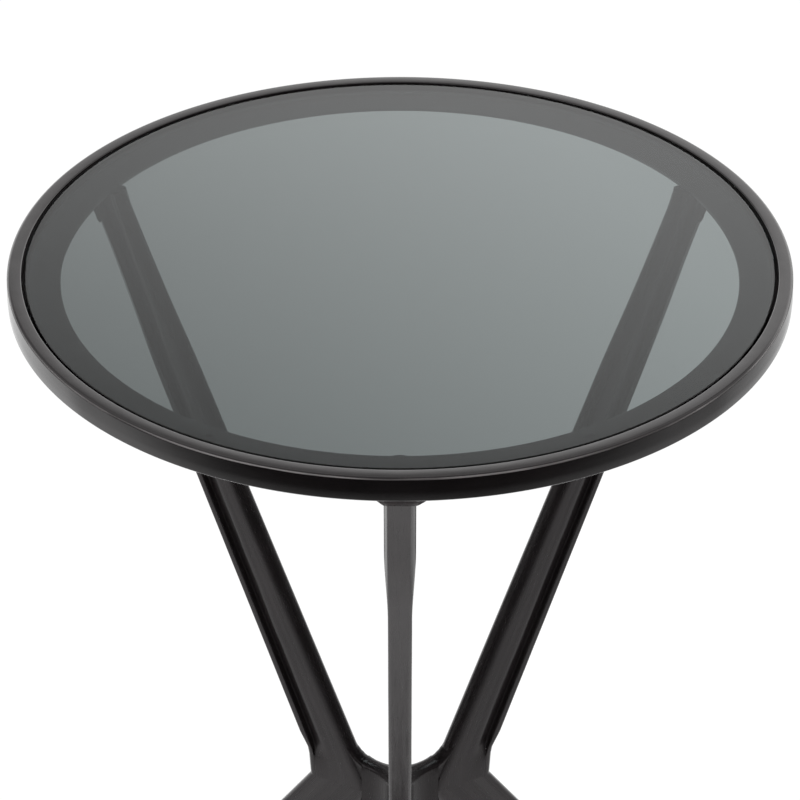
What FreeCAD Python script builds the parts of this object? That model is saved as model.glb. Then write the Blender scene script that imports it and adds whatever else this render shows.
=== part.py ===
"""Round accent table: smoked glass in a cast rim, on three grooved legs that pinch to a waist and splay."""
import FreeCAD, Part
import math
import os

V = FreeCAD.Vector
os.makedirs("parts", exist_ok=True)

# Whole table, millimetres. The floor is z = 0 and the axis of the table is x = y = 0.
table_height = 622.0
top_radius = 228.6

# Rim: a ring with a raised lip and, inside it, a ledge for the glass
rim_height = 15.5
lip_width = 7.9
ledge_width = 23.4
ledge_thickness = 6.2
rim_top_round = 1.6
rim_round_bands = 3
rim_bottom_bevel = 1.2

# Smoked glass, lying on cushions inside the lip
glass_thickness = 6.0
glass_gap = 2.7
glass_edge_bevel = 0.9
bumper_count = 6
bumper_diameter = 8.0
bumper_height = 2.5
bumper_taper = 0.8
bumper_sides = 16

# Upper legs: flat bars with a wider flat face along the outer edge, set off by a groove on each side.
# The face is wide under the rim and narrower below.
leg_count = 3
leg_top_inset = 12.0
leg_top_width = 27.0
face_top_half = 8.7
face_low_half = 6.9
face_top_round = 2.2
face_low_round = 1.0
face_waist_round = 4.0
face_thickness = 4.2
wide_length = 68.0
narrowing_length = 54.0
body_half = 6.0
inner_edge_depth = 9.0
inner_edge_bands = 6
groove_core_half = 3.0
groove_floor_end = 6.6
groove_shoulder = 11.0
groove_least = 0.06
upper_groove_rise = 33.0

# Waist, where upper and lower legs meet
waist_drop = 396.2
waist_radius = 63.4
bend_rise = 19.2
bend_widening = 1.4

# Lower legs: the same bar, splayed to the floor so that the feet stand a little inside the rim
foot_inset = 8.6
foot_width = 33.1
lower_groove_end = 30.0
lower_groove_full = 44.0

# Hub in the middle of the waist
hub_flat_radius = 25.0
hub_half_height = 23.2
hub_hollow_radius = 10.5
hub_dish_radius = 106.0
upper_crotch_rise = 13.4
lower_crotch_drop = 13.0

# Filler beads at the joints
rim_bead_width = 12.0
rim_bead_reach = 8.5
rim_bead_height = 11.5
rim_bead_toe = 0.4
hub_bead_rise = 9.0
hub_bead_half = 5.2
hub_bead_start = 1.5
hub_bead_bury = 4.8

# Rubber feet
pad_height = 4.0
pad_inset = 1.0
pad_tongue_width = 14.0
pad_tongue_thickness = 5.0
pad_tongue_length = 10.0

rim_bottom = table_height - rim_height
ledge_top = rim_bottom + ledge_thickness
lip_radius = top_radius - lip_width
ledge_radius = lip_radius - ledge_width
ledge_middle = (lip_radius + ledge_radius) / 2
glass_bottom = ledge_top + bumper_height
glass_radius = lip_radius - glass_gap
waist_height = table_height - waist_drop
leg_top_outer = top_radius - leg_top_inset
leg_top_inner = leg_top_outer - leg_top_width
foot_radius = top_radius - foot_inset
foot_inner = foot_radius - foot_width
foot_middle = foot_radius - foot_width / 2
leg_names = ("front", "right", "left")
leg_angles = [360.0 * i / leg_count - 90.0 for i in range(leg_count)]


def save(shape, name):
    shape.exportStep("parts/" + name + ".step")


def turned(points):
    """A ring or disc turned round the table axis from the corners of half its section."""
    outline = Part.makePolygon([V(r, 0, z) for r, z in points + points[:1]])
    return Part.Face(outline).revolve(V(0, 0, 0), V(0, 0, 1), 360)


def oval(z, inner, outer, half):
    """Level oval that points along +X: flat sides joined by half-round edges."""
    return Part.Wire([
        Part.LineSegment(V(inner + half, half, z), V(outer - half, half, z)).toShape(),
        Part.Arc(V(outer - half, half, z), V(outer, 0, z), V(outer - half, -half, z)).toShape(),
        Part.LineSegment(V(outer - half, -half, z), V(inner + half, -half, z)).toShape(),
        Part.Arc(V(inner + half, -half, z), V(inner, 0, z), V(inner + half, half, z)).toShape()])


def bar(z, inner, outer, half, corner, deep):
    """Level section of a leg that points along +X; half and corner are the face's half width and edge rounding,
    and deep is the share of the groove's full depth. The inner edge is rounded in narrow bands."""
    floor = half + (groove_core_half - half) * deep
    bulge = corner * (1 - math.sqrt(0.5))
    side = [V(outer - corner, half, z), V(outer - face_thickness, half, z), V(outer - face_thickness, floor, z),
            V(outer - groove_floor_end, floor, z), V(outer - groove_shoulder, body_half, z)]
    corners = list(side)
    for i in range(inner_edge_bands + 1):
        swing = math.radians(90.0 + 180.0 * i / inner_edge_bands)
        corners.append(V(inner + inner_edge_depth * (1 + math.cos(swing)), body_half * math.sin(swing), z))
    corners += [V(p.x, -p.y, z) for p in reversed(side)]
    edges = [Part.LineSegment(start, end).toShape() for start, end in zip(corners, corners[1:])]
    front = [V(outer, corner - half, z), V(outer, half - corner, z)]
    edges.append(Part.Arc(corners[-1], V(outer - bulge, bulge - half, z), front[0]).toShape())
    edges.append(Part.LineSegment(front[0], front[1]).toShape())
    edges.append(Part.Arc(front[1], V(outer - bulge, half - bulge, z), corners[0]).toShape())
    return Part.Wire(edges)


def between(z, low, high):
    """Distance from the axis at height z on the straight line through two (distance, height) points."""
    return low[0] + (high[0] - low[0]) * (z - low[1]) / (high[1] - low[1])


def at_leg(shape, angle):
    copy = shape.copy()
    copy.rotate(V(0, 0, 0), V(0, 0, 1), angle)
    return copy


# Rim: one casting with its outer top edge rounded in narrow bands and a small bevel underneath
rim_round = []
for i in range(rim_round_bands + 1):
    turn = math.radians(90.0 * i / rim_round_bands)
    rim_round.append((top_radius - rim_top_round * (1 - math.cos(turn)),
                      table_height - rim_top_round * (1 - math.sin(turn))))
rim = turned([
    (ledge_radius, rim_bottom), (top_radius - rim_bottom_bevel, rim_bottom),
    (top_radius, rim_bottom + rim_bottom_bevel)] + rim_round + [
    (lip_radius, table_height), (lip_radius, ledge_top), (ledge_radius, ledge_top)])
save(rim, "top_rim")

# Glass: a round pane with its edge bevelled on both sides
glass_top = glass_bottom + glass_thickness
glass = turned([
    (0, glass_bottom), (glass_radius - glass_edge_bevel, glass_bottom),
    (glass_radius, glass_bottom + glass_edge_bevel), (glass_radius, glass_top - glass_edge_bevel),
    (glass_radius - glass_edge_bevel, glass_top), (0, glass_top)])
save(glass, "glass_top")

# Clear cushions stuck on the ledge, the first one halfway between two legs
bumper_radius = bumper_diameter / 2
cushion_rings = []
for z, radius in ((ledge_top, bumper_radius), (ledge_top + bumper_height, bumper_radius - bumper_taper)):
    ring = []
    for i in range(bumper_sides):
        swing = 2 * math.pi * i / bumper_sides
        ring.append(V(ledge_middle + radius * math.cos(swing), radius * math.sin(swing), z))
    cushion_rings.append(Part.makePolygon(ring + ring[:1]))
cushion = Part.makeLoft(cushion_rings, True, True)
for i in range(bumper_count):
    angle = leg_angles[0] + 180.0 / bumper_count + 360.0 * i / bumper_count
    save(at_leg(cushion, angle), "glass_bumper_" + str(i + 1))

# Edge lines of the upper leg in its own upright plane
upper_top_outer = (leg_top_outer, rim_bottom)
upper_top_inner = (leg_top_inner, rim_bottom)
bend = (waist_radius + bend_widening, waist_height + bend_rise)
waist = (waist_radius, waist_height)
upper_crotch = (hub_flat_radius, waist_height + upper_crotch_rise)


def upper_inner(z):
    return between(z, upper_crotch, upper_top_inner)


def upper_outer(z):
    if z < bend[1]:
        return between(z, waist, bend)
    return between(z, bend, upper_top_outer)


# Upper leg: straight edges, a face that narrows below the rim, and grooves that run out above the waist.
# Each level is a height, the half width and edge rounding of the face, and the share of the groove's depth.
upper_levels = [
    (rim_bottom, face_top_half, face_top_round, 1.0),
    (rim_bottom - wide_length, face_top_half, face_top_round, 1.0),
    (rim_bottom - wide_length - narrowing_length, face_low_half, face_low_round, 1.0),
    (waist_height + upper_groove_rise, face_low_half, face_low_round, 1.0),
    (bend[1], face_low_half, face_waist_round, groove_least),
    (waist_height, face_low_half, face_waist_round, groove_least)]
upper_leg = Part.makeLoft([bar(z, upper_inner(z), upper_outer(z), half, corner, deep)
                           for z, half, corner, deep in upper_levels], True, True)

# Lower leg: from the waist out to the foot
lower_crotch = (hub_flat_radius, waist_height - lower_crotch_drop)
foot_inner_end = (foot_inner, pad_height)
foot_outer_end = (foot_radius, pad_height)


def lower_inner(z):
    return between(z, foot_inner_end, lower_crotch)


def lower_outer(z):
    return between(z, foot_outer_end, waist)


lower_levels = [
    (waist_height, face_low_half, face_waist_round, groove_least),
    (waist_height - lower_groove_end, face_low_half, face_waist_round, groove_least),
    (waist_height - lower_groove_full, face_low_half, face_low_round, 1.0),
    (pad_height, face_low_half, face_low_round, 1.0)]
lower_leg = Part.makeLoft([bar(z, lower_inner(z), lower_outer(z), half, corner, deep)
                           for z, half, corner, deep in lower_levels], True, True)

# Both are cut flat where they stand against the hub
hub_room = Part.makeBox(2 * hub_flat_radius, 4 * hub_flat_radius, table_height,
                        V(-hub_flat_radius, -2 * hub_flat_radius, 0))
upper_leg = upper_leg.cut(hub_room)
lower_leg = lower_leg.cut(hub_room)

# Rubber foot: an oval pad with a flat tongue that is pressed into a slot in the end of the leg
pad_face = Part.Face(oval(0, foot_inner + pad_inset, foot_radius - pad_inset, body_half - pad_inset))
tongue = Part.makeBox(pad_tongue_width, pad_tongue_thickness, pad_tongue_length,
                      V(foot_middle - pad_tongue_width / 2, -pad_tongue_thickness / 2, pad_height))
foot_pad = pad_face.extrude(V(0, 0, pad_height)).fuse(tongue).removeSplitter()
lower_leg = lower_leg.cut(tongue)

# Filler bead round the leg top: it slopes from the flat underside of the rim to the sides of the leg
bead_sections = []
for z, wide, reach in ((rim_bottom, rim_bead_width, rim_bead_reach),
                       (rim_bottom - rim_bead_height, rim_bead_toe, rim_bead_toe)):
    near = upper_inner(z)
    far = upper_outer(z)
    half_ring = [(far + reach, face_top_half), (far, face_top_half + wide),
                 (near, face_top_half + wide), (near - reach, face_top_half)]
    ring = [V(x, y, z) for x, y in half_ring] + [V(x, -y, z) for x, y in reversed(half_ring)]
    bead_sections.append(Part.makePolygon(ring + ring[:1]))
rim_bead = Part.makeLoft(bead_sections, True, True)
bead_floor = rim_bottom - 2 * rim_bead_height
underside = turned([
    (ledge_radius, bead_floor), (top_radius - rim_bottom_bevel, bead_floor),
    (top_radius - rim_bottom_bevel, rim_bottom), (ledge_radius, rim_bottom)])
rim_bead = rim_bead.common(underside).cut(upper_leg)

# Hub: three flats for the legs with hollow faces between them, dished above and below
hub_outline = []
for i in range(leg_count):
    here = math.radians(leg_angles[i])
    following = math.radians(leg_angles[i] + 360.0 / leg_count)
    halfway = (here + following) / 2
    flat_start = V(hub_flat_radius * math.cos(here) + body_half * math.sin(here),
                   hub_flat_radius * math.sin(here) - body_half * math.cos(here), 0)
    flat_end = V(hub_flat_radius * math.cos(here) - body_half * math.sin(here),
                 hub_flat_radius * math.sin(here) + body_half * math.cos(here), 0)
    next_start = V(hub_flat_radius * math.cos(following) + body_half * math.sin(following),
                   hub_flat_radius * math.sin(following) - body_half * math.cos(following), 0)
    hollow = V(hub_hollow_radius * math.cos(halfway), hub_hollow_radius * math.sin(halfway), 0)
    hub_outline.append(Part.LineSegment(flat_start, flat_end).toShape())
    hub_outline.append(Part.Arc(flat_end, hollow, next_start).toShape())
hub = Part.Face(Part.Wire(hub_outline)).extrude(V(0, 0, 2 * hub_half_height))
hub.translate(V(0, 0, waist_height - hub_half_height))
hub_corner = math.hypot(hub_flat_radius, body_half) + 0.5
dish_centre = hub_half_height + math.sqrt(hub_dish_radius ** 2 - hub_corner ** 2)
for side in (-1, 1):
    dish = Part.makeSphere(hub_dish_radius, V(0, 0, waist_height + side * dish_centre), V(0, 1, 0))
    hub = hub.cut(dish)
save(hub, "waist_hub")
hub_edge = dish_centre - math.sqrt(hub_dish_radius ** 2 - hub_flat_radius ** 2)


def crotch_bead(side, start, line, leg):
    """Filler between hub and leg with a slanting face, above (side 1) or below (side -1) the waist."""
    foot = start + side * hub_bead_start
    corner = waist_height + side * hub_edge
    end = corner + side * hub_bead_rise
    reach = line(end) + hub_bead_bury
    inside = line(end) + body_half
    a = V(hub_flat_radius, -hub_bead_half, foot)
    b = V(hub_flat_radius, -hub_bead_half, corner)
    c = V(reach, -hub_bead_half, end)
    d = V(inside, -hub_bead_half, end)
    e = V(inside, -hub_bead_half, foot)
    outline = Part.makePolygon([a, b, c, d, e, a])
    return Part.Face(outline).extrude(V(0, 2 * hub_bead_half, 0)).cut(leg)


upper_bead = crotch_bead(1, upper_crotch[1], upper_inner, upper_leg)
lower_bead = crotch_bead(-1, lower_crotch[1], lower_inner, lower_leg)

# The three legs are the same pieces turned round the axis
for name, angle in zip(leg_names, leg_angles):
    save(at_leg(upper_leg, angle), "upper_leg_" + name)
    save(at_leg(lower_leg, angle), "lower_leg_" + name)
    save(at_leg(foot_pad, angle), "foot_pad_" + name)

# The filler beads are alike at each leg and are kept together
rim_welds = [at_leg(rim_bead, angle) for angle in leg_angles]
hub_welds = [at_leg(bead, angle) for bead in (upper_bead, lower_bead) for angle in leg_angles]
save(Part.makeCompound([solid for bead in rim_welds for solid in bead.Solids]), "rim_welds")
save(Part.makeCompound([solid for bead in hub_welds for solid in bead.Solids]), "hub_welds")
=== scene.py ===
import bpy
import math
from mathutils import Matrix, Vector, noise


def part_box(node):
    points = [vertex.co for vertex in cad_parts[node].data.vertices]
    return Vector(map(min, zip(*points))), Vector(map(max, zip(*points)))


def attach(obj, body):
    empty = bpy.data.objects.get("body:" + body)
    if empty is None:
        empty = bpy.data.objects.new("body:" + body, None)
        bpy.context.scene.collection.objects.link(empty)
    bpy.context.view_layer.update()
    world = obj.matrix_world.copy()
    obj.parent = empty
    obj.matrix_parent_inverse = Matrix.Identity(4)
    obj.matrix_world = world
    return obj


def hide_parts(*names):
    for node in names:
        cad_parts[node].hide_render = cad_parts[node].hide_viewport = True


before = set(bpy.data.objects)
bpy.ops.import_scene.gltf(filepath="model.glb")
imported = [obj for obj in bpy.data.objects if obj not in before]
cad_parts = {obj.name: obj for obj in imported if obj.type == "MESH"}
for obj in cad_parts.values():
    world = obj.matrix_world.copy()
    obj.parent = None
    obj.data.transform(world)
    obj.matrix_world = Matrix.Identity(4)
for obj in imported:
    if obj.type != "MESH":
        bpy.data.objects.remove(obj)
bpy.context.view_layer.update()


# Waist hub: the cast block in the middle of the waist, with a flat for each leg and hollow faces
# between the flats. Its top and bottom are dished, and its edges are rubbed round before painting.
leg_turns = {"front": math.radians(-90), "right": math.radians(30), "left": math.radians(150)}
third_turn = math.radians(120)
waist_height = 0.2258
hub_flat = 0.025
hub_flat_half = 0.0056
hub_hollow = 0.0105
hub_half_height = 0.0232
hub_dish = 0.106
hub_dish_overrun = 0.0005
hub_round = 0.0042
hub_steps = 144
hub_top_shares = (0.10, 0.30, 0.48, 0.62, 0.74, 0.83, 0.89, 0.935, 0.965, 0.985, 0.996, 1.0)
hub_side_shares = (0.7, 0.45, 0.2, 0.0)
casting_crease = math.radians(42)
paint_dark = (0.0110, 0.0086, 0.0090)
paint_light = (0.0165, 0.0128, 0.0134)
paint_tint = (1.0, 0.955, 0.97, 1)
paint_ior = 1.5
dull_step = 0.08


def swung(turn, along, across, z):
    """A point given along and across a direction that runs out from the table's axis."""
    x = along * math.cos(turn) - across * math.sin(turn)
    y = along * math.sin(turn) + across * math.cos(turn)
    return (x, y, z)


def shaped(name, points, faces, grain, crease=casting_crease):
    """A piece that is smooth up to its sharp edges; grain holds each point's place along the metal."""
    mesh = bpy.data.meshes.new(name)
    mesh.from_pydata(points, [], faces)
    mesh.validate()
    mesh.shade_smooth()
    mesh.set_sharp_from_angle(angle=crease)
    lay = mesh.attributes.new("grain", "FLOAT_VECTOR", "POINT")
    lay.data.foreach_set("vector", [c for place in grain for c in place])
    piece = bpy.data.objects.new(name, mesh)
    bpy.context.scene.collection.objects.link(piece)
    return piece


def skin_faces(rings, first=0):
    """Faces of a closed skin through rings of equally many points, which are numbered from first on."""
    count = len(rings[0])
    faces = []
    for k in range(len(rings) - 1):
        low = first + k * count
        high = low + count
        for i in range(count):
            j = (i + 1) % count
            faces.append((low + i, low + j, high + j, high + i))
    last = first + (len(rings) - 1) * count
    faces.append(tuple(reversed(range(first, first + count))))
    faces.append(tuple(range(last, last + count)))
    return faces


def in_a_row(rings):
    """The points of all rings, one ring after the other."""
    return [p for ring in rings for p in ring]


def skin(name, rings, grain):
    """A piece with one closed skin through rings of points."""
    return shaped(name, in_a_row(rings), skin_faces(rings), in_a_row(grain))


def connect(tree, socket, value):
    """Links a socket to another one, or puts a plain value on it."""
    if isinstance(value, bpy.types.NodeSocket):
        tree.links.new(value, socket)
    else:
        socket.default_value = value


def feed(tree, target, **values):
    """Feeds the sockets of a node by their names, with _ for each space."""
    for label, value in values.items():
        connect(tree, target.inputs[label.replace("_", " ")], value)


def node(tree, kind, **values):
    """One shader node, with its sockets fed by name."""
    made = tree.nodes.new(kind)
    feed(tree, made, **values)
    return made


def laid(tree, name):
    """The node that reads what is laid on the points of a piece under a name."""
    made = tree.nodes.new("ShaderNodeAttribute")
    made.attribute_name = name
    return made


def ranged(tree, value, low, high, start=0.0, end=1.0, smooth=False):
    """A value carried over from between low and high to between start and end."""
    made = node(tree, "ShaderNodeMapRange", Value=value, From_Min=low, From_Max=high,
                To_Min=start, To_Max=end)
    if smooth:
        made.interpolation_type = "SMOOTHSTEP"
    return made.outputs[0]


def reckoned(tree, operation, *terms):
    """A sum, product or the like of sockets and plain numbers."""
    made = tree.nodes.new("ShaderNodeMath")
    made.operation = operation
    for socket, term in zip(made.inputs, terms):
        connect(tree, socket, term)
    return made.outputs[0]


def sum_of(tree, *terms):
    """Adds up pairs of a socket and the factor that it is taken with."""
    total = 0.0
    for socket, factor in terms:
        total = reckoned(tree, "MULTIPLY_ADD", socket, factor, total)
    return total


def colour_mix(tree, share, first, second, blend="MIX"):
    """Two colours mixed, with the given share of the second."""
    made = tree.nodes.new("ShaderNodeMix")
    made.data_type = "RGBA"
    made.blend_type = blend
    feed(tree, made, Factor=share, A=first, B=second)
    return made.outputs["Result"]


def new_material(name):
    """A material with its node tree and its shader."""
    made = bpy.data.materials.new(name)
    made.use_nodes = True
    return made, made.node_tree, made.node_tree.nodes["Principled BSDF"]


# Rubbed cast surface under all the black paint: slow waves, long file streaks and fine orange peel
rubbed_cast = bpy.data.node_groups.new("rubbed_cast", "ShaderNodeTree")
for label in ("Wave", "Streak", "Peel"):
    rubbed_cast.interface.new_socket(name=label, in_out="INPUT", socket_type="NodeSocketFloat")
for label in ("Height", "Roughness", "Rub"):
    rubbed_cast.interface.new_socket(name=label, in_out="OUTPUT", socket_type="NodeSocketFloat")
depths = rubbed_cast.nodes.new("NodeGroupInput")
metal_place = laid(rubbed_cast, "grain").outputs["Vector"]
wave_lay = node(rubbed_cast, "ShaderNodeMapping", Vector=metal_place, Scale=(1.0, 1.0, 0.45))
file_lay = node(rubbed_cast, "ShaderNodeMapping", Vector=metal_place, Scale=(1.0, 1.0, 0.06))
wave = node(rubbed_cast, "ShaderNodeTexNoise", Vector=wave_lay.outputs[0], Scale=70.0, Detail=2.0)
streak = node(rubbed_cast, "ShaderNodeTexNoise", Vector=file_lay.outputs[0], Scale=620.0, Detail=3.0)
peel = node(rubbed_cast, "ShaderNodeTexNoise", Vector=metal_place, Scale=900.0, Detail=2.0)
heights = []
for label, marks, share in (("Wave", wave, 1.0), ("Streak", streak, 0.05), ("Peel", peel, 0.03)):
    weighed = reckoned(rubbed_cast, "MULTIPLY", marks.outputs["Fac"], depths.outputs[label])
    heights.append((weighed, share))
node(rubbed_cast, "NodeGroupOutput", Height=sum_of(rubbed_cast, *heights),
     Roughness=ranged(rubbed_cast, streak.outputs["Fac"], 0.3, 0.7, 0.20, 0.30),
     Rub=ranged(rubbed_cast, wave.outputs["Fac"], 0.35, 0.75))


def black_paint(name, marks, bump_height, shade=1.0, rough=1.0, specular=0.5):
    """Satin black paint over rubbed-down cast metal. marks are the depths of its waves, streaks and peel.
    shade and rough scale its colour and its roughness, and it is duller where dull is laid on a piece."""
    paint, tree, shader = new_material(name)
    cast = tree.nodes.new("ShaderNodeGroup")
    cast.node_tree = rubbed_cast
    wave_depth, streak_depth, peel_depth = marks
    feed(tree, cast, Wave=wave_depth, Streak=streak_depth, Peel=peel_depth)
    dark, light = [tuple(shade * c for c in tone) + (1,) for tone in (paint_dark, paint_light)]
    colour = colour_mix(tree, cast.outputs["Rub"], dark, light)
    dull = laid(tree, "dull").outputs["Fac"]
    roughness = sum_of(tree, (cast.outputs["Roughness"], rough), (dull, dull_step))
    bump = node(tree, "ShaderNodeBump", Distance=bump_height, Height=cast.outputs["Height"])
    feed(tree, shader, Base_Color=colour, Roughness=roughness, Normal=bump.outputs["Normal"])
    feed(tree, shader, IOR=paint_ior, Specular_IOR_Level=specular, Specular_Tint=paint_tint)
    return paint


hollow_turns = [turn + third_turn / 2 for turn in leg_turns.values()]
corner_turn = math.atan2(hub_flat_half, hub_flat)
corner_reach = math.hypot(hub_flat, hub_flat_half)
hollow_along = corner_reach * math.cos(third_turn / 2 - corner_turn)
hollow_across = corner_reach * math.sin(third_turn / 2 - corner_turn)
hollow_centre = hollow_along ** 2 + hollow_across ** 2 - hub_hollow ** 2
hollow_centre /= 2 * (hollow_along - hub_hollow)
hollow_bow = hollow_centre - hub_hollow
hub_dish_centre = hub_half_height + math.sqrt(hub_dish ** 2 - (corner_reach + hub_dish_overrun) ** 2)


def hub_reach(turn):
    """Distance from the axis to the side of the hub in one direction."""
    off = (turn - leg_turns["front"] + third_turn / 2) % third_turn - third_turn / 2
    if abs(off) <= corner_turn:
        return hub_flat / math.cos(off)
    beside = third_turn / 2 - abs(off)
    half_chord = hollow_centre * math.sin(beside)
    return hollow_centre * math.cos(beside) - math.sqrt(hollow_bow ** 2 - half_chord ** 2)


def hub_top(reach, turn):
    """Height of the dished face above the waist, rounded over towards the hollow sides."""
    dish = hub_dish_centre - math.sqrt(hub_dish ** 2 - reach ** 2)
    room = min(math.hypot(reach * math.cos(turn) - hollow_centre * math.cos(a),
                          reach * math.sin(turn) - hollow_centre * math.sin(a)) - hollow_bow
               for a in hollow_turns)
    short = hub_round - min(hub_round, max(0.0, room))
    return dish - hub_round + math.sqrt(hub_round ** 2 - short ** 2)


hub_turns = [2 * math.pi * i / hub_steps for i in range(hub_steps)]
hub_sides = [(a, hub_reach(a)) for a in hub_turns]
hub_upper = []
for share in hub_top_shares:
    hub_upper.append([swung(a, share * r, 0, waist_height + hub_top(share * r, a)) for a, r in hub_sides])
for share in hub_side_shares:
    hub_upper.append([swung(a, r, 0, waist_height + share * hub_top(r, a)) for a, r in hub_sides])
hub_lower = [[(x, y, 2 * waist_height - z) for x, y, z in ring] for ring in hub_upper[:-1]]
hub_rings = hub_lower + hub_upper[::-1]
hub = skin("waist_hub_casting", hub_rings, hub_rings)
hub.data.materials.append(black_paint("hub_paint", (0.6, 0.3, 0.7), 0.0004, specular=0.30))
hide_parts("waist_hub")
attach(hub, "frame")


# Upper legs: three cast bars with a wider flat face along the outer edge, set off by a groove on each
# side. The face is wide under the rim and narrower below. Each bar is filed by hand, stands against
# the hub and is welded there and under the rim.
rim_bottom = 0.6065
ledge_reach = 0.1973
leg_top_outer = 0.2166
leg_top_inner = 0.1896
waist_reach = 0.0634
bend_reach = 0.0648
bend_height = waist_height + 0.0192
crotch_height = waist_height + 0.0134
slim_run = (0.115, 0.025)
slim_outer = 0.0028
slim_inner = 0.0026
upper_steps = 72

# Face of a leg, and its broken edges as width, depth and bulge
face_top_half = 0.0089
face_low_half = 0.0069
face_thickness = 0.0050
face_narrows = (0.064, 0.124)
face_steps = 5
edge_top = (0.0024, 0.0046, 0.15)
edge_low = (0.0010, 0.0010, 0.80)
edge_waist_more = (0.0028, 0.0028, 0.20)
edge_rounds_below = 0.0330
edge_rounds_over = 0.0138
edge_land = 0.0003
skew_share = 0.4
skew_full_depth = 0.0030
skew_run = 0.05

# Groove beside the face, its places measured in from the outer face, and the sides of the bar
body_half = 0.0060
groove_core_half = 0.0030
groove_starts = (0.012, 0.027)
groove_lip_round = 0.0008
groove_lip_least = 0.0001
groove_wall_lean = 0.0002
groove_bottom = 0.0060
groove_rise = 0.0096
groove_rise_share = 0.32
groove_crest = 0.0128
groove_crest_share = 0.78
groove_shoulder = 0.0145
groove_end = 0.0172
groove_dulls = (0.0040, 0.0052)
groove_clears = (0.0135, 0.0180)
inner_edge_depth = 0.0090
side_least = 0.0006
side_steps = 9

# Marks of the file: the wave of the sides, the sway of the groove as reach and rate, and the dressed ends
side_wave = 0.006
side_wave_length = 0.8
side_wave_start = 0.15
sway_marks = ((0.0008, 30), (0.0004, 95))
sway_rows = (3.1, 7.7)
filed_rates = (90, 60, 26)
filed_share = 0.009
filed_waist_share = 0.010
filed_waist_run = (0.03, 0.07)
hub_pinch = 0.14
hub_pinch_run = 0.0060
scribe_rise = 0.0033
scribe_run = 0.008
scribe_reach = 0.0068


def along_line(z, low, high):
    """Distance at a height on the straight line through two points of distance and height."""
    return low[0] + (high[0] - low[0]) * (z - low[1]) / (high[1] - low[1])


def eased(value, start, end):
    """Goes gently from 0 at start to 1 at end."""
    share = min(1.0, max(0.0, (value - start) / (end - start)))
    return share * share * (3 - 2 * share)


def bezier(start, bend, end, steps):
    """Points of a plain curve after its start, up to and with its end."""
    made = []
    for i in range(1, steps + 1):
        t = i / steps
        made.append(tuple(a * (1 - t) ** 2 + 2 * b * t * (1 - t) + c * t * t
                          for a, b, c in zip(start, bend, end)))
    return made


def quarter(steps):
    """Angles of a quarter turn, with both its ends."""
    return [math.radians(90 * i / steps) for i in range(steps + 1)]


def bar_outline(inner, outer, half, edge, deep, sway, skew):
    """Half the level section of a leg from the middle of its outer face to its inner edge, as distance and
    half thickness. deep is the share of the groove's full depth, sway shifts the filed edge of the groove,
    and skew widens the broken edge of the face."""
    width, depth, bulge = edge
    width += skew
    flat = half - width
    core = half + (groove_core_half - half) * deep
    outline = [(outer, flat * i / face_steps) for i in range(face_steps + 1)]
    for a in quarter(8)[1:]:
        t = a / math.radians(90)
        back_by = depth * (bulge * (1 - math.cos(a)) + (1 - bulge) * t)
        outline.append((outer - back_by, flat + width * (bulge * math.sin(a) + (1 - bulge) * t)))
    back = outer - max(face_thickness, depth + edge_land)
    lip = groove_lip_round * deep + groove_lip_least
    for a in quarter(5):
        outline.append((back + lip * (1 - math.sin(a)), half - lip * (1 - math.cos(a))))
    bottom = (outer - groove_bottom, core)
    rise = (outer - groove_rise, core + groove_rise_share * (body_half - core))
    crest = (outer - groove_crest + sway, core + groove_crest_share * (body_half - core))
    shoulder = (outer - groove_shoulder + sway, body_half)
    start = outer - groove_end + sway
    outline += bezier((back, half - lip), (back - groove_wall_lean, core), bottom, 7)
    outline += bezier(bottom, rise, crest, 5)
    outline += bezier(crest, shoulder, (start, body_half), 8)
    edge_depth = min(inner_edge_depth, outer - inner - groove_end - side_least)
    end = inner + edge_depth
    for i in range(1, side_steps):
        t = i / side_steps
        wave_turn = 2 * math.pi * (t + side_wave_start) / side_wave_length
        filed = side_wave * (start - end) * math.cos(wave_turn) * math.sin(math.pi * t)
        outline.append((start + (end - start) * t, body_half + filed))
    for a in quarter(14):
        outline.append((end - edge_depth * math.sin(a), body_half * math.cos(a)))
    return outline


def leg_point(turn, x, y, z):
    """A point of a leg's section, filed by hand, pinched at the hub and scribed to the ledge's bevel."""
    wander = noise.noise(Vector((x * filed_rates[0], y * filed_rates[1] + turn, z * filed_rates[2])))
    filed = filed_share + filed_waist_share * (1 - eased(abs(z - waist_height), *filed_waist_run))
    along = max(x, hub_flat)
    pinch = hub_pinch * eased(hub_flat + hub_pinch_run - along, 0.0, hub_pinch_run)
    scribed = scribe_rise * eased(z, rim_bottom - scribe_run, rim_bottom)
    scribed *= min(1.0, max(0.0, (ledge_reach + scribe_reach - x) / scribe_reach))
    return swung(turn, along, y * (1 + filed * wander) * (1 - pinch), z + scribed)


def lay_values(piece, name, values):
    """Lays one number on each point of a piece."""
    piece.data.attributes.new(name, "FLOAT", "POINT").data.foreach_set("value", values)


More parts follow.
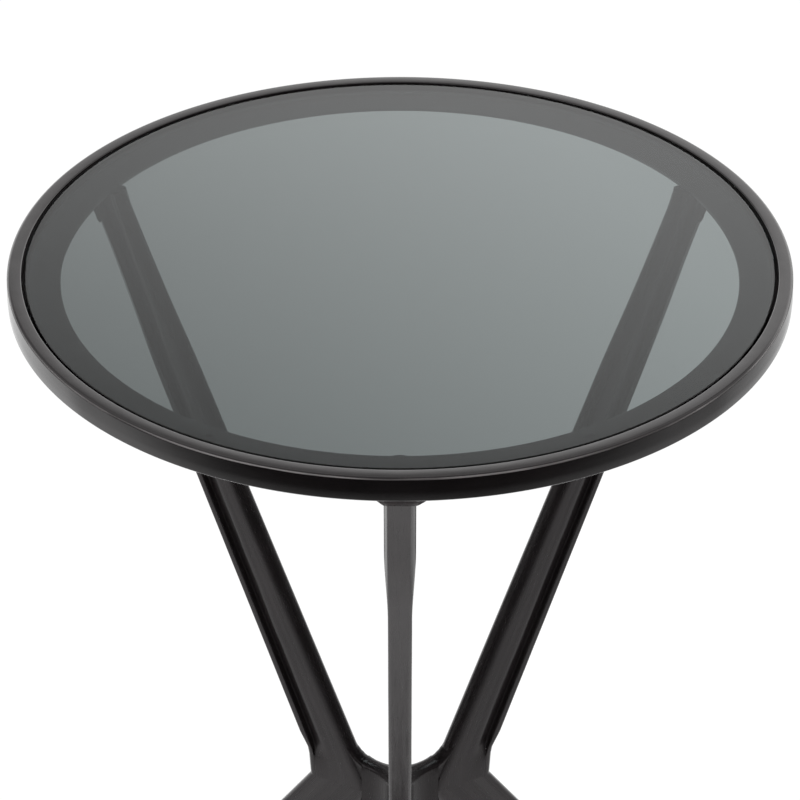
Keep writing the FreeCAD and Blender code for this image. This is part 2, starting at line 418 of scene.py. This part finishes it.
def leg_bar(name, side, levels, sizes):
    """A leg between its end levels. For a height, sizes gives its inner and outer distance, the half width
    of its face, the broken edge of the face, and the share of the groove's depth."""
    turn = leg_turns[side]
    rings = []
    lay = []
    dulled = []
    for z in levels:
        inner, outer, half, edge, deep = sizes(z)
        skew = skew_share * (edge[0] - edge_low[0]) * eased(edge[1], edge_low[1], skew_full_depth)
        skew *= eased(z, bend_height, bend_height + skew_run)
        halves = []
        for row, wider in zip(sway_rows, (skew, -skew)):
            sway = sum(reach * noise.noise(Vector((turn, row, z * rate))) for reach, rate in sway_marks)
            halves.append(bar_outline(inner, outer, half, edge, deep, sway, wider))
        outline = halves[0] + [(x, -y) for x, y in reversed(halves[1][1:-1])]
        rings.append([leg_point(turn, x, y, z) for x, y in outline])
        lay.append([(x - outer + turn, y, z) for x, y in outline])
        dulled += [deep * eased(outer - x, *groove_dulls) * (1 - eased(outer - x, *groove_clears))
                   for x, y in outline]
    bar = skin(name, rings, lay)
    lay_values(bar, "dull", dulled)
    return bar


def upper_sizes(z):
    """What leg_bar needs of an upper leg at a height."""
    inner = along_line(z, (hub_flat, crotch_height), (leg_top_inner, rim_bottom))
    if z < bend_height:
        outer = along_line(z, (waist_reach, waist_height), (bend_reach, bend_height))
    else:
        outer = along_line(z, (bend_reach, bend_height), (leg_top_outer, rim_bottom))
    slimmer = eased(z, rim_bottom - slim_run[0], rim_bottom - slim_run[1])
    narrowed = eased(rim_bottom - z, *face_narrows)
    rounder = eased(waist_height + edge_rounds_below - z, 0.0, edge_rounds_over)
    half = face_top_half + (face_low_half - face_top_half) * narrowed
    edge = [top + (low - top) * narrowed + more * rounder
            for top, low, more in zip(edge_top, edge_low, edge_waist_more)]
    deep = eased(z - waist_height, *groove_starts)
    return inner + slim_inner * slimmer, outer - slim_outer * slimmer, half, edge, deep


upper_levels = [waist_height + (rim_bottom - waist_height) * i / upper_steps for i in range(upper_steps + 1)]
leg_paint = black_paint("leg_paint", (0.5, 0.5, 0.4), 0.0005)
for side in leg_turns:
    upper = leg_bar("upper_leg_bar_" + side, side, upper_levels, upper_sizes)
    upper.data.materials.append(leg_paint)
    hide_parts("upper_leg_" + side)
    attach(upper, "frame")


# Lower legs: the same cast bar carried on below the waist, splayed outwards to a foot that is cut
# flat. Its groove runs out and its edges are rubbed round where it meets the hub, to which it is welded.
lower_crotch_height = waist_height - 0.0130
lower_groove_starts = (0.030, 0.046)
foot_level = 0.004
foot_outer = 0.2200
foot_inner = 0.1869
lower_steps = 44


def lower_sizes(z):
    """What leg_bar needs of a lower leg at a height."""
    inner = along_line(z, (foot_inner, foot_level), (hub_flat, lower_crotch_height))
    outer = along_line(z, (foot_outer, foot_level), (waist_reach, waist_height))
    deep = eased(waist_height - z, *lower_groove_starts)
    edge = [low + more * (1 - deep) for low, more in zip(edge_low, edge_waist_more)]
    return inner, outer, face_low_half, edge, deep


lower_levels = [foot_level + (waist_height - foot_level) * i / lower_steps for i in range(lower_steps + 1)]
for side in leg_turns:
    lower = leg_bar("lower_leg_bar_" + side, side, lower_levels, lower_sizes)
    lower.data.materials.append(leg_paint)
    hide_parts("lower_leg_" + side)
    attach(lower, "frame")


# Hub welds: a ridge of filler that carries the edge of the hub over into the inner edge of each leg,
# above and below the waist. It is laid in short overlapping runs, rubbed over, and rooted deep in the
# notch between hub and leg. Its places are distances from the axis and from the level of the waist.
crotch_start = Vector((0.0180, 0.0207))
crotch_bends = {1: Vector((0.0325, 0.0236)), -1: Vector((0.0318, 0.0240))}
crotch_end = 0.0385
crotch_end_inside = 0.0007
crotch_half = 0.0058
crotch_fan = 100
crotch_fan_steps = 16
crotch_tuck_turn = math.radians(62)
crotch_tuck = 0.23
crotch_root = 0.0133
crotch_root_share = 0.70
crotch_ripple = 0.00010
crotch_run_steps = 5
crotch_steps = 40
bead_crease = math.radians(50)


def crotch_bead(side, above):
    """Rings of the filler between hub and leg; above is 1 over the waist and -1 under it."""
    sizes = upper_sizes if above > 0 else lower_sizes
    start = crotch_start
    bend = crotch_bends[above]
    stop = Vector((sizes(waist_height + above * crotch_end)[0] + crotch_end_inside, crotch_end))
    rings = []
    for i in range(crotch_steps + 1):
        t = i / crotch_steps
        here = start * (1 - t) ** 2 + bend * 2 * t * (1 - t) + stop * t * t
        ahead = ((bend - start) * (1 - t) + (stop - bend) * t).normalized()
        rise = Vector((-ahead.y, ahead.x))
        run_turn = 2 * math.pi * i / crotch_run_steps
        here = here + rise * crotch_ripple * math.sin(run_turn) * math.sin(math.pi * t)
        root = here - rise * crotch_root
        section = [(root.x, -crotch_root_share * crotch_half, root.y)]
        for k in range(crotch_fan_steps + 1):
            a = math.radians(crotch_fan * (2 * k / crotch_fan_steps - 1))
            sink = crotch_half * (math.cos(a) - 1)
            tucked = crotch_tuck * max(0.0, abs(a) - crotch_tuck_turn)
            aside = crotch_half * math.copysign(math.sin(min(abs(a), crotch_tuck_turn)) - tucked, a)
            section.append((here.x + rise.x * sink, aside, here.y + rise.y * sink))
        section.append((root.x, crotch_root_share * crotch_half, root.y))
        rings.append([swung(leg_turns[side], x, y, waist_height + above * z) for x, y, z in section])
    if above < 0:
        rings.reverse()
    return rings


def joined(name, groups):
    """One piece of several closed skins, each given by its rings."""
    points = []
    faces = []
    for rings in groups:
        faces += skin_faces(rings, len(points))
        points += in_a_row(rings)
    return shaped(name, points, faces, points, bead_crease)


hub_beads = joined("hub_weld_beads", [crotch_bead(side, above) for side in leg_turns for above in (1, -1)])
hub_beads.data.materials.append(black_paint("bead_paint", (0.5, 0.0, 0.8), 0.0004, specular=0.16))
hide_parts("hub_welds")
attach(hub_beads, "frame")


# Rim: one turned casting, a lip that rounds over into a slightly bowed outer wall, with a ledge inside
# it that carries the glass and thins towards its edge. The paint is matt in the gap round the glass. Along
# the top outer edge it is lighter in patches, both paint rubbed through and a painted highlight line on
# the rounded edge. The legs are welded to its underside.
table_height = 0.622
rim_reach = 0.2286
lip_reach = 0.2199
ledge_top = 0.6127
ledge_edge = 0.0026
ledge_bevel = 0.0070
wall_lean = 0.0003
wall_bow_height = 0.0055
rim_steps = 300
rim_lay_reach = 0.22
matt_below_top = (0.0011, 0.0016)
matt_inside_lip = (0.0033, 0.0040)
matt_level = 10.0
# Light band along the top outer edge, in patches: paint rubbed through, and a painted highlight line.
wear_and_highlight_below_top = (0.0008, 0.0016)
wear_and_highlight_width = 0.0012
wear_and_highlight_colour = (0.16, 0.15, 0.15, 1)
rim_tint = (1.0, 0.985, 0.985, 1)
rim_ior = 1.63
paint_tolerance = 0.0001


def rounded(corner, before, after, radius, steps):
    """Points of a corner of a profile that is rounded over."""
    a = (Vector(before) - Vector(corner)).normalized()
    b = (Vector(after) - Vector(corner)).normalized()
    half = a.angle(b) / 2
    start = Vector(corner) + a * radius / math.tan(half)
    end = Vector(corner) + b * radius / math.tan(half)
    centre = Vector(corner) + (a + b).normalized() * radius / math.sin(half)
    made = []
    for i in range(steps + 1):
        p = (start - centre).lerp(end - centre, i / steps).normalized() * radius + centre
        made.append((p.x, p.y))
    return made


def turned(name, profile, steps):
    """A piece turned round the table's axis from a closed profile of distances and heights."""
    rings = [[swung(2 * math.pi * i / steps, r, 0, z) for r, z in profile] for i in range(steps)]
    points = in_a_row(rings)
    count = len(profile)
    faces = []
    for i in range(steps):
        k = (i + 1) % steps
        for j in range(count):
            n = (j + 1) % count
            faces.append((i * count + j, k * count + j, k * count + n, i * count + n))
    grain = [(math.hypot(x, y), z, rim_lay_reach * abs(math.atan2(y, x))) for x, y, z in points]
    return shaped(name, points, faces, grain)


lip_corner = (lip_reach, table_height)
gap_corner = (lip_reach, ledge_top)
rim_corners = [((ledge_reach + ledge_bevel, rim_bottom), 0.0020, 3),
               ((rim_reach - wall_lean, rim_bottom), 0.0011, 5),
               ((rim_reach, rim_bottom + wall_bow_height), 0.030, 6),
               ((rim_reach - wall_lean, table_height), 0.0020, 10),
               (lip_corner, 0.0007, 4),
               (gap_corner, 0.0006, 3),
               ((ledge_reach, ledge_top), 0.0006, 3),
               ((ledge_reach, ledge_top - ledge_edge), 0.0006, 3)]
paint_edges = {lip_corner: [(lip_reach, table_height - below) for below in matt_below_top],
               gap_corner: [(lip_reach - inside, ledge_top) for inside in matt_inside_lip]}
rim_profile = []
for i, (corner, radius, steps) in enumerate(rim_corners):
    before = rim_corners[i - 1][0]
    after = rim_corners[(i + 1) % len(rim_corners)][0]
    rim_profile += rounded(corner, before, after, radius, steps) + paint_edges.get(corner, [])
rim_profile.reverse()
rim = turned("top_rim_casting", rim_profile, rim_steps)
matt = []
wear_and_highlight = []
for v in rim.data.vertices:
    below_top = table_height - v.co.z
    inside_lip = lip_reach - math.hypot(v.co.x, v.co.y)
    inside_wall = rim_reach - math.hypot(v.co.x, v.co.y)
    in_gap = -paint_tolerance < inside_lip < matt_inside_lip[0] + paint_tolerance
    matt.append(matt_level * (in_gap and below_top > matt_below_top[1] - paint_tolerance))
    wear_and_highlight.append(1.0 * (inside_wall < wear_and_highlight_width and wear_and_highlight_below_top[0] < below_top < wear_and_highlight_below_top[1]))
lay_values(rim, "dull", matt)
lay_values(rim, "wear_and_highlight", wear_and_highlight)
# The rim's paint is a darker copy of the legs' black paint: painted shade that keeps its open, well-lit wall
# as black as the shaded grooves.
rim_paint = black_paint("rim_paint", (0.35, 0.3, 0.5), 0.0004, shade=0.5, rough=0.6)
tree = rim_paint.node_tree
shader = tree.nodes["Principled BSDF"]
# Lighter patches at the top outer edge, standing for both rubbed-through paint and a painted highlight line.
patches = node(tree, "ShaderNodeTexNoise", Scale=9.0, Detail=3.0)
patchy = ranged(tree, patches.outputs["Fac"], 0.40, 0.60, 0.25)
rubbed_and_highlit = reckoned(tree, "MULTIPLY", laid(tree, "wear_and_highlight").outputs["Fac"], patchy)
whole_paint = shader.inputs["Base Color"].links[0].from_socket
feed(tree, shader, Base_Color=colour_mix(tree, rubbed_and_highlit, whole_paint, wear_and_highlight_colour))
feed(tree, shader, IOR=rim_ior, Specular_Tint=rim_tint)
rim.data.materials.append(rim_paint)
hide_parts("top_rim")
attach(rim, "frame")


# Rim welds: filler that slopes from the underside of the rim down to the sides of each leg top, run
# round in ripples. It stops where the leg reaches in past the ledge, and spreads into a wing on both
# sides of the front leg.
weld_height = 0.0172
weld_levels = 12
weld_steps = 72
weld_skin = 0.0001
weld_bite = 0.0003
weld_inner = ledge_reach + 0.0074
weld_ripple = 0.00020
weld_ripple_step = 1.26
weld_ripple_slant = 2.0
weld_lump = 0.0008
weld_lump_level = 0.90
weld_lump_height = 0.08
weld_face_run = (0.0045, 0.0090)
front_weld_length = 0.0055
side_weld_length = 0.0004
wing_right = 0.0120
wing_right_bow = 0.9
wing_left = 0.0105
wing_left_bow = 1.1
wing_end = 0.001
side_wing_run = 0.006
side_wing_share = 0.04


def squared(value):
    """A sine or cosine drawn out, so that a circle becomes a square with rounded corners."""
    return math.copysign(abs(value) ** 0.25, value)


def rim_bead(side):
    """Rings of the filler round one leg top, from its lower end up to the rim."""
    at_front = side == "front"
    rings = []
    for k in range(weld_levels + 1):
        t = k / weld_levels
        z = rim_bottom - weld_height * t
        inner, outer, half = upper_sizes(z)[:3]
        wing_start = weld_inner if at_front else outer - side_wing_run
        level = []
        for i in range(weld_steps):
            a = 2 * math.pi * (i + 0.5) / weld_steps
            ripple_turn = weld_ripple_step * i + weld_ripple_slant * t
            ripple = weld_ripple * math.sin(ripple_turn) * math.sin(math.pi * t) + weld_skin
            lump = weld_lump * math.sin(2 * a) ** 4
            lump *= math.exp(-((t - weld_lump_level) / weld_lump_height) ** 2)
            longer = (front_weld_length if at_front else side_weld_length) * (1 - t ** 4)
            along = (outer - inner) / 2 + longer + ripple + lump
            x = max((inner + outer) / 2 + along * squared(math.cos(a)), weld_inner)
            if math.sin(a) > 0:
                wing = wing_right * (1 - t) ** wing_right_bow
            else:
                wing = wing_left * (1 - t) ** wing_left_bow
            if not at_front:
                wing *= side_wing_share
            wide = body_half + (half - body_half) * (1 - eased(outer - x, *weld_face_run))
            wide += wing * eased(x, wing_start, outer - wing_end) + ripple
            level.append(swung(leg_turns[side], x, wide * squared(math.sin(a)), z if k else z + weld_bite))
        rings.append(level)
    rings.reverse()
    return rings


rim_beads = joined("rim_weld_beads", [rim_bead(side) for side in leg_turns])
# The filler has a copy of the black paint with almost no shine and a lifted base, painted shade: the welds
# and leg tops under the rim read as a flat dark band, like the shadow under the rim.
shaded_paint = black_paint("rim_bead_painted_shade", (0.5, 0.0, 0.8), 0.0004, shade=1.8, specular=0.02)
rim_beads.data.materials.append(shaded_paint)
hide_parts("rim_welds")
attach(rim_beads, "frame")


# Foot pads: moulded black rubber, an oval a little smaller than the foot with a groove round its side,
# pushed into the end of each lower leg by a tongue that is out of sight. The profile holds how far
# each level is set in, and its height.
pad_margin = 0.001
pad_end_steps = 24
pad_profile = [(0.0016, 0.0), (0.0005, 0.0003), (0.0, 0.0010), (0.0, 0.0016), (0.0006, 0.0019),
               (0.0006, 0.0022), (0.0, 0.0025), (0.0, 0.0036), (0.0004, 0.0040)]
pad_ends = ((foot_outer - body_half, -90), (foot_inner + body_half, 90))
pad_outline = [(x, math.radians(start + 180 * i / pad_end_steps))
               for x, start in pad_ends for i in range(pad_end_steps + 1)]
rubber, tree, shader = new_material("foot_rubber")
specks = node(tree, "ShaderNodeTexNoise", Scale=1400.0, Detail=3.0).outputs["Fac"]
pits = node(tree, "ShaderNodeBump", Distance=0.0002, Strength=0.5, Height=specks)
feed(tree, shader, Base_Color=(0.018, 0.018, 0.019, 1), Normal=pits.outputs["Normal"],
     Roughness=ranged(tree, specks, 0.0, 1.0, 0.62, 0.86))
for side, turn in leg_turns.items():
    pad_rings = []
    for inset, z in pad_profile:
        half = body_half - pad_margin - inset
        pad_rings.append([swung(turn, x + half * math.cos(a), half * math.sin(a), z)
                          for x, a in pad_outline])
    pad = skin("rubber_foot_" + side, pad_rings, pad_rings)
    pad.data.materials.append(rubber)
    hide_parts("foot_pad_" + side)
    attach(pad, "frame")


# Cushions: six clear self-adhesive silicone buttons with domed tops, stuck on the ledge, which keep
# the glass off the metal. The profile holds the radius and the height of each level.
button_profile = [(0.00390, 0.0), (0.00400, 0.00025), (0.00385, 0.0009), (0.00350, 0.0018),
                  (0.00320, 0.0022), (0.00260, 0.00242), (0.0014, 0.0025)]
button_steps = 36
button_turns = [math.radians(360 * i / button_steps) for i in range(button_steps)]
silicone, tree, shader = new_material("clear_silicone")
haze = node(tree, "ShaderNodeTexNoise", Scale=900.0, Detail=2.0).outputs["Fac"]
feed(tree, shader, Base_Color=(0.90, 0.91, 0.90, 1), Roughness=ranged(tree, haze, 0.0, 1.0, 0.08, 0.30))
feed(tree, shader, IOR=1.41, Transmission_Weight=1.0)
for i in range(1, 7):
    low_corner, high_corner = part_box("glass_bumper_%d" % i)
    centre = (low_corner + high_corner) / 2
    button_rings = [[(centre.x + r * math.cos(a), centre.y + r * math.sin(a), low_corner.z + z)
                     for a in button_turns] for r, z in button_profile]
    button = skin("glass_cushion_%d" % i, button_rings, button_rings)
    button.data.materials.append(silicone)
    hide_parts("glass_bumper_%d" % i)
    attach(button, "frame")


# Glass: a round smoked pane, its edge ground and polished with a narrow bevel on both sides. It is
# loose: it lies on the cushions inside the lip and lifts straight out.
glass_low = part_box("glass_top")[0].z
glass_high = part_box("glass_top")[1].z
glass_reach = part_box("glass_top")[1].x
glass_middle = 0.02
bevel = 0.0005
pane_steps = 240
pane_profile = [(glass_middle, glass_low), (glass_reach - bevel, glass_low),
                (glass_reach, glass_low + bevel), (glass_reach, glass_high - bevel),
                (glass_reach - bevel, glass_high), (glass_middle, glass_high)]
pane_turns = [math.radians(360 * i / pane_steps) for i in range(pane_steps)]
pane_rings = [[swung(a, r, 0, z) for a in pane_turns] for r, z in pane_profile]
pane = skin("glass_pane", pane_rings, pane_rings)
smoked, tree, shader = new_material("smoked_glass")
feed(tree, shader, Base_Color=(0.206, 0.236, 0.236, 1), Roughness=0.0, IOR=1.5, Transmission_Weight=1.0)
pane.data.materials.append(smoked)
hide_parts("glass_top")
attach(pane, "glass")


# Floor: a plain pale sheet, white to the camera with the shadow kept faint, and dimmer towards the
# front left through the glass. In the metal it falls off to dark towards the camera and to the sides,
# as a sheet does that ends in an unlit room. The falls hold places on the floor and their greys.
floor_reach = 9
fall_forward = ((-3.0, 0.03), (-2.0, 0.02), (-1.45, 0.02), (-1.15, 0.03), (-0.90, 0.14), (-0.61, 0.45),
                (-0.30, 0.85), (-0.05, 0.88), (0.12, 0.82), (0.25, 1.15), (0.6, 1.15))
fall_sideways = ((-2.5, 0.15), (-1.9, 0.3), (-1.5, 0.65), (-1.1, 0.95), (-0.65, 0.78), (-0.36, 0.72),
                 (-0.12, 1.0), (0.1, 1.0), (0.3, 0.62), (0.6, 0.66), (1.1, 0.5), (1.6, 0.3), (2.5, 0.15))
shadow_share = 0.06


def flat_sheet(name, corners):
    """A single flat face."""
    mesh = bpy.data.meshes.new(name)
    mesh.from_pydata(corners, [], [(0, 1, 2, 3)])
    sheet = bpy.data.objects.new(name, mesh)
    bpy.context.scene.collection.objects.link(sheet)
    return sheet


def emptied(owner):
    """The node tree of a material or a world, cleared."""
    owner.use_nodes = True
    owner.node_tree.nodes.clear()
    return owner.node_tree


def axes(tree, kind, output):
    """The X, Y and Z sockets of what a node of some kind puts out."""
    source = tree.nodes.new(kind)
    return node(tree, "ShaderNodeSeparateXYZ", Vector=source.outputs[output]).outputs


def either(tree, share, first, second):
    """Two shaders mixed, with the given share of the second."""
    made = tree.nodes.new("ShaderNodeMixShader")
    for socket, value in zip(made.inputs, (share, first, second)):
        connect(tree, socket, value)
    return made.outputs[0]


def greys(tree, value, stops):
    """Greys along a value, each at its own place between the first and the last."""
    low = stops[0][0]
    high = stops[-1][0]
    ramp = tree.nodes.new("ShaderNodeValToRGB")
    connect(tree, ramp.inputs[0], ranged(tree, value, low, high))
    marks = ramp.color_ramp.elements
    marks[0].color = (stops[0][1],) * 3 + (1,)
    marks[1].color = (stops[-1][1],) * 3 + (1,)
    for place, grey in stops[1:-1]:
        marks.new((place - low) / (high - low)).color = (grey, grey, grey, 1)
    return ramp.outputs[0]


floor = flat_sheet("floor", [(-floor_reach, -floor_reach, 0), (floor_reach, -floor_reach, 0),
                             (floor_reach, floor_reach, 0), (-floor_reach, floor_reach, 0)])
sheet = bpy.data.materials.new("floor_sheet")
tree = emptied(sheet)
ray = tree.nodes.new("ShaderNodeLightPath").outputs
place = axes(tree, "ShaderNodeNewGeometry", "Position")
fallen = colour_mix(tree, 1.0, greys(tree, place["Y"], fall_forward),
                    greys(tree, place["X"], fall_sideways), "MULTIPLY")
in_metal = node(tree, "ShaderNodeEmission", Color=fallen, Strength=1.3)
slope = sum_of(tree, (place["X"], 0.78), (place["Y"], 0.35))
in_glass = node(tree, "ShaderNodeEmission", Strength=ranged(tree, slope, 0.066, 0.566, 0.5, 1.0))
plain = node(tree, "ShaderNodeBsdfDiffuse", Color=(0.94, 0.94, 0.94, 1))
white = node(tree, "ShaderNodeEmission", Strength=1.03)
to_camera = either(tree, shadow_share, white.outputs[0], plain.outputs[0])
seen = either(tree, ray["Is Camera Ray"], plain.outputs[0], to_camera)
seen = either(tree, ray["Is Glossy Ray"], seen, in_metal.outputs[0])
seen = either(tree, ray["Is Transmission Ray"], seen, in_glass.outputs[0])
node(tree, "ShaderNodeOutputMaterial", Surface=seen)
floor.data.materials.append(sheet)


# World: white to the camera and in the glass, and a plain soft light on everything else. In the metal
# it is a pale room, lighter behind the table and a little overhead, with a band of low light in front,
# mostly to the left of the camera.
low_light_band = ((0.0, 0.0), (0.15, 0.0), (0.22, 1.0), (0.36, 1.0), (0.45, 0.0), (1.0, 0.0))
room = bpy.data.worlds.new("room")
bpy.context.scene.world = room
tree = emptied(room)
ray = tree.nodes.new("ShaderNodeLightPath").outputs
place = axes(tree, "ShaderNodeTexCoord", "Generated")
behind = ranged(tree, place["Y"], -0.8, 0.7, 0.10, 1.0, smooth=True)
overhead = ranged(tree, place["Z"], 0.55, 0.95, 0.0, 0.15, smooth=True)
leftward = ranged(tree, place["X"], -0.05, -0.30, 0.3, 3.0)
frontward = ranged(tree, place["Y"], -0.20, -0.60)
low_light = reckoned(tree, "MULTIPLY", leftward, frontward)
low_light = reckoned(tree, "MULTIPLY", greys(tree, place["Z"], low_light_band), low_light)
level = sum_of(tree, (behind, 1.0), (low_light, 1.0), (overhead, 1.0))
in_metal = node(tree, "ShaderNodeBackground", Strength=level)
soft = node(tree, "ShaderNodeBackground", Strength=0.55)
white = node(tree, "ShaderNodeBackground", Color=(1, 1, 1, 1), Strength=1.0)
straight = reckoned(tree, "MAXIMUM", ray["Is Camera Ray"], ray["Is Transmission Ray"])
seen = either(tree, straight, soft.outputs[0], white.outputs[0])
seen = either(tree, ray["Is Glossy Ray"], seen, in_metal.outputs[0])
node(tree, "ShaderNodeOutputWorld", Surface=seen)


# Backdrop: the white wall behind the table, brighter low down and to the right, seen only in the
# gloss of the metal and glass.
wall_back = 3
wall_half = 4
wall_low = 0.3
wall_high = 5
wall_glow = 0.94
wall_glow_height = 2.53
glow_rightward = 0.38
glow_downward = 1.3
wall = flat_sheet("backdrop", [(-wall_half, wall_back, wall_low), (wall_half, wall_back, wall_low),
                               (wall_half, wall_back, wall_high), (-wall_half, wall_back, wall_high)])
wall.visible_camera = False
wall.visible_diffuse = False
wall.visible_transmission = False
wall.visible_shadow = False
paper = bpy.data.materials.new("backdrop_paper")
tree = emptied(paper)
place = axes(tree, "ShaderNodeNewGeometry", "Position")
level = sum_of(tree, (place["X"], glow_rightward), (place["Z"], -glow_downward))
level = reckoned(tree, "ADD", level, wall_glow + glow_downward * wall_glow_height)
held = node(tree, "ShaderNodeClamp", Value=level, Min=0.4, Max=1.8)
glow = node(tree, "ShaderNodeEmission", Strength=held.outputs[0])
node(tree, "ShaderNodeOutputMaterial", Surface=glow.outputs[0])
wall.data.materials.append(paper)


# Lamp: one large soft light overhead, aimed at the top of the table. It lights the paint and the
# floor, and doesn't show in the gloss.
key = bpy.data.lights.new("overhead", "AREA")
key.shape = "RECTANGLE"
key.size = 1.6
key.size_y = 1.2
key.energy = 60
key_aim = Vector((0, 0, 0.6))
key_lamp = bpy.data.objects.new("overhead", key)
key_lamp.location = (0.2, 0.0, 2.7)
key_lamp.rotation_euler = (key_aim - key_lamp.location).to_track_quat("-Z", "Y").to_euler()
bpy.context.scene.collection.objects.link(key_lamp)
key_lamp.visible_glossy = False


# Camera: high in front of the table and looking down at its top, as in the photograph. Its place and
# its lens come from the circles of the rim.
eye = bpy.data.cameras.new("camera")
eye.lens = 183.7
eye.sensor_width = 36
camera = bpy.data.objects.new("camera", eye)
camera.location = (0.0, -2.0463, 1.8329)
camera.rotation_euler = (math.radians(57.43), 0, 0)
bpy.context.scene.collection.objects.link(camera)
bpy.context.scene.camera = camera
bpy.context.scene.view_settings.view_transform = "Standard"
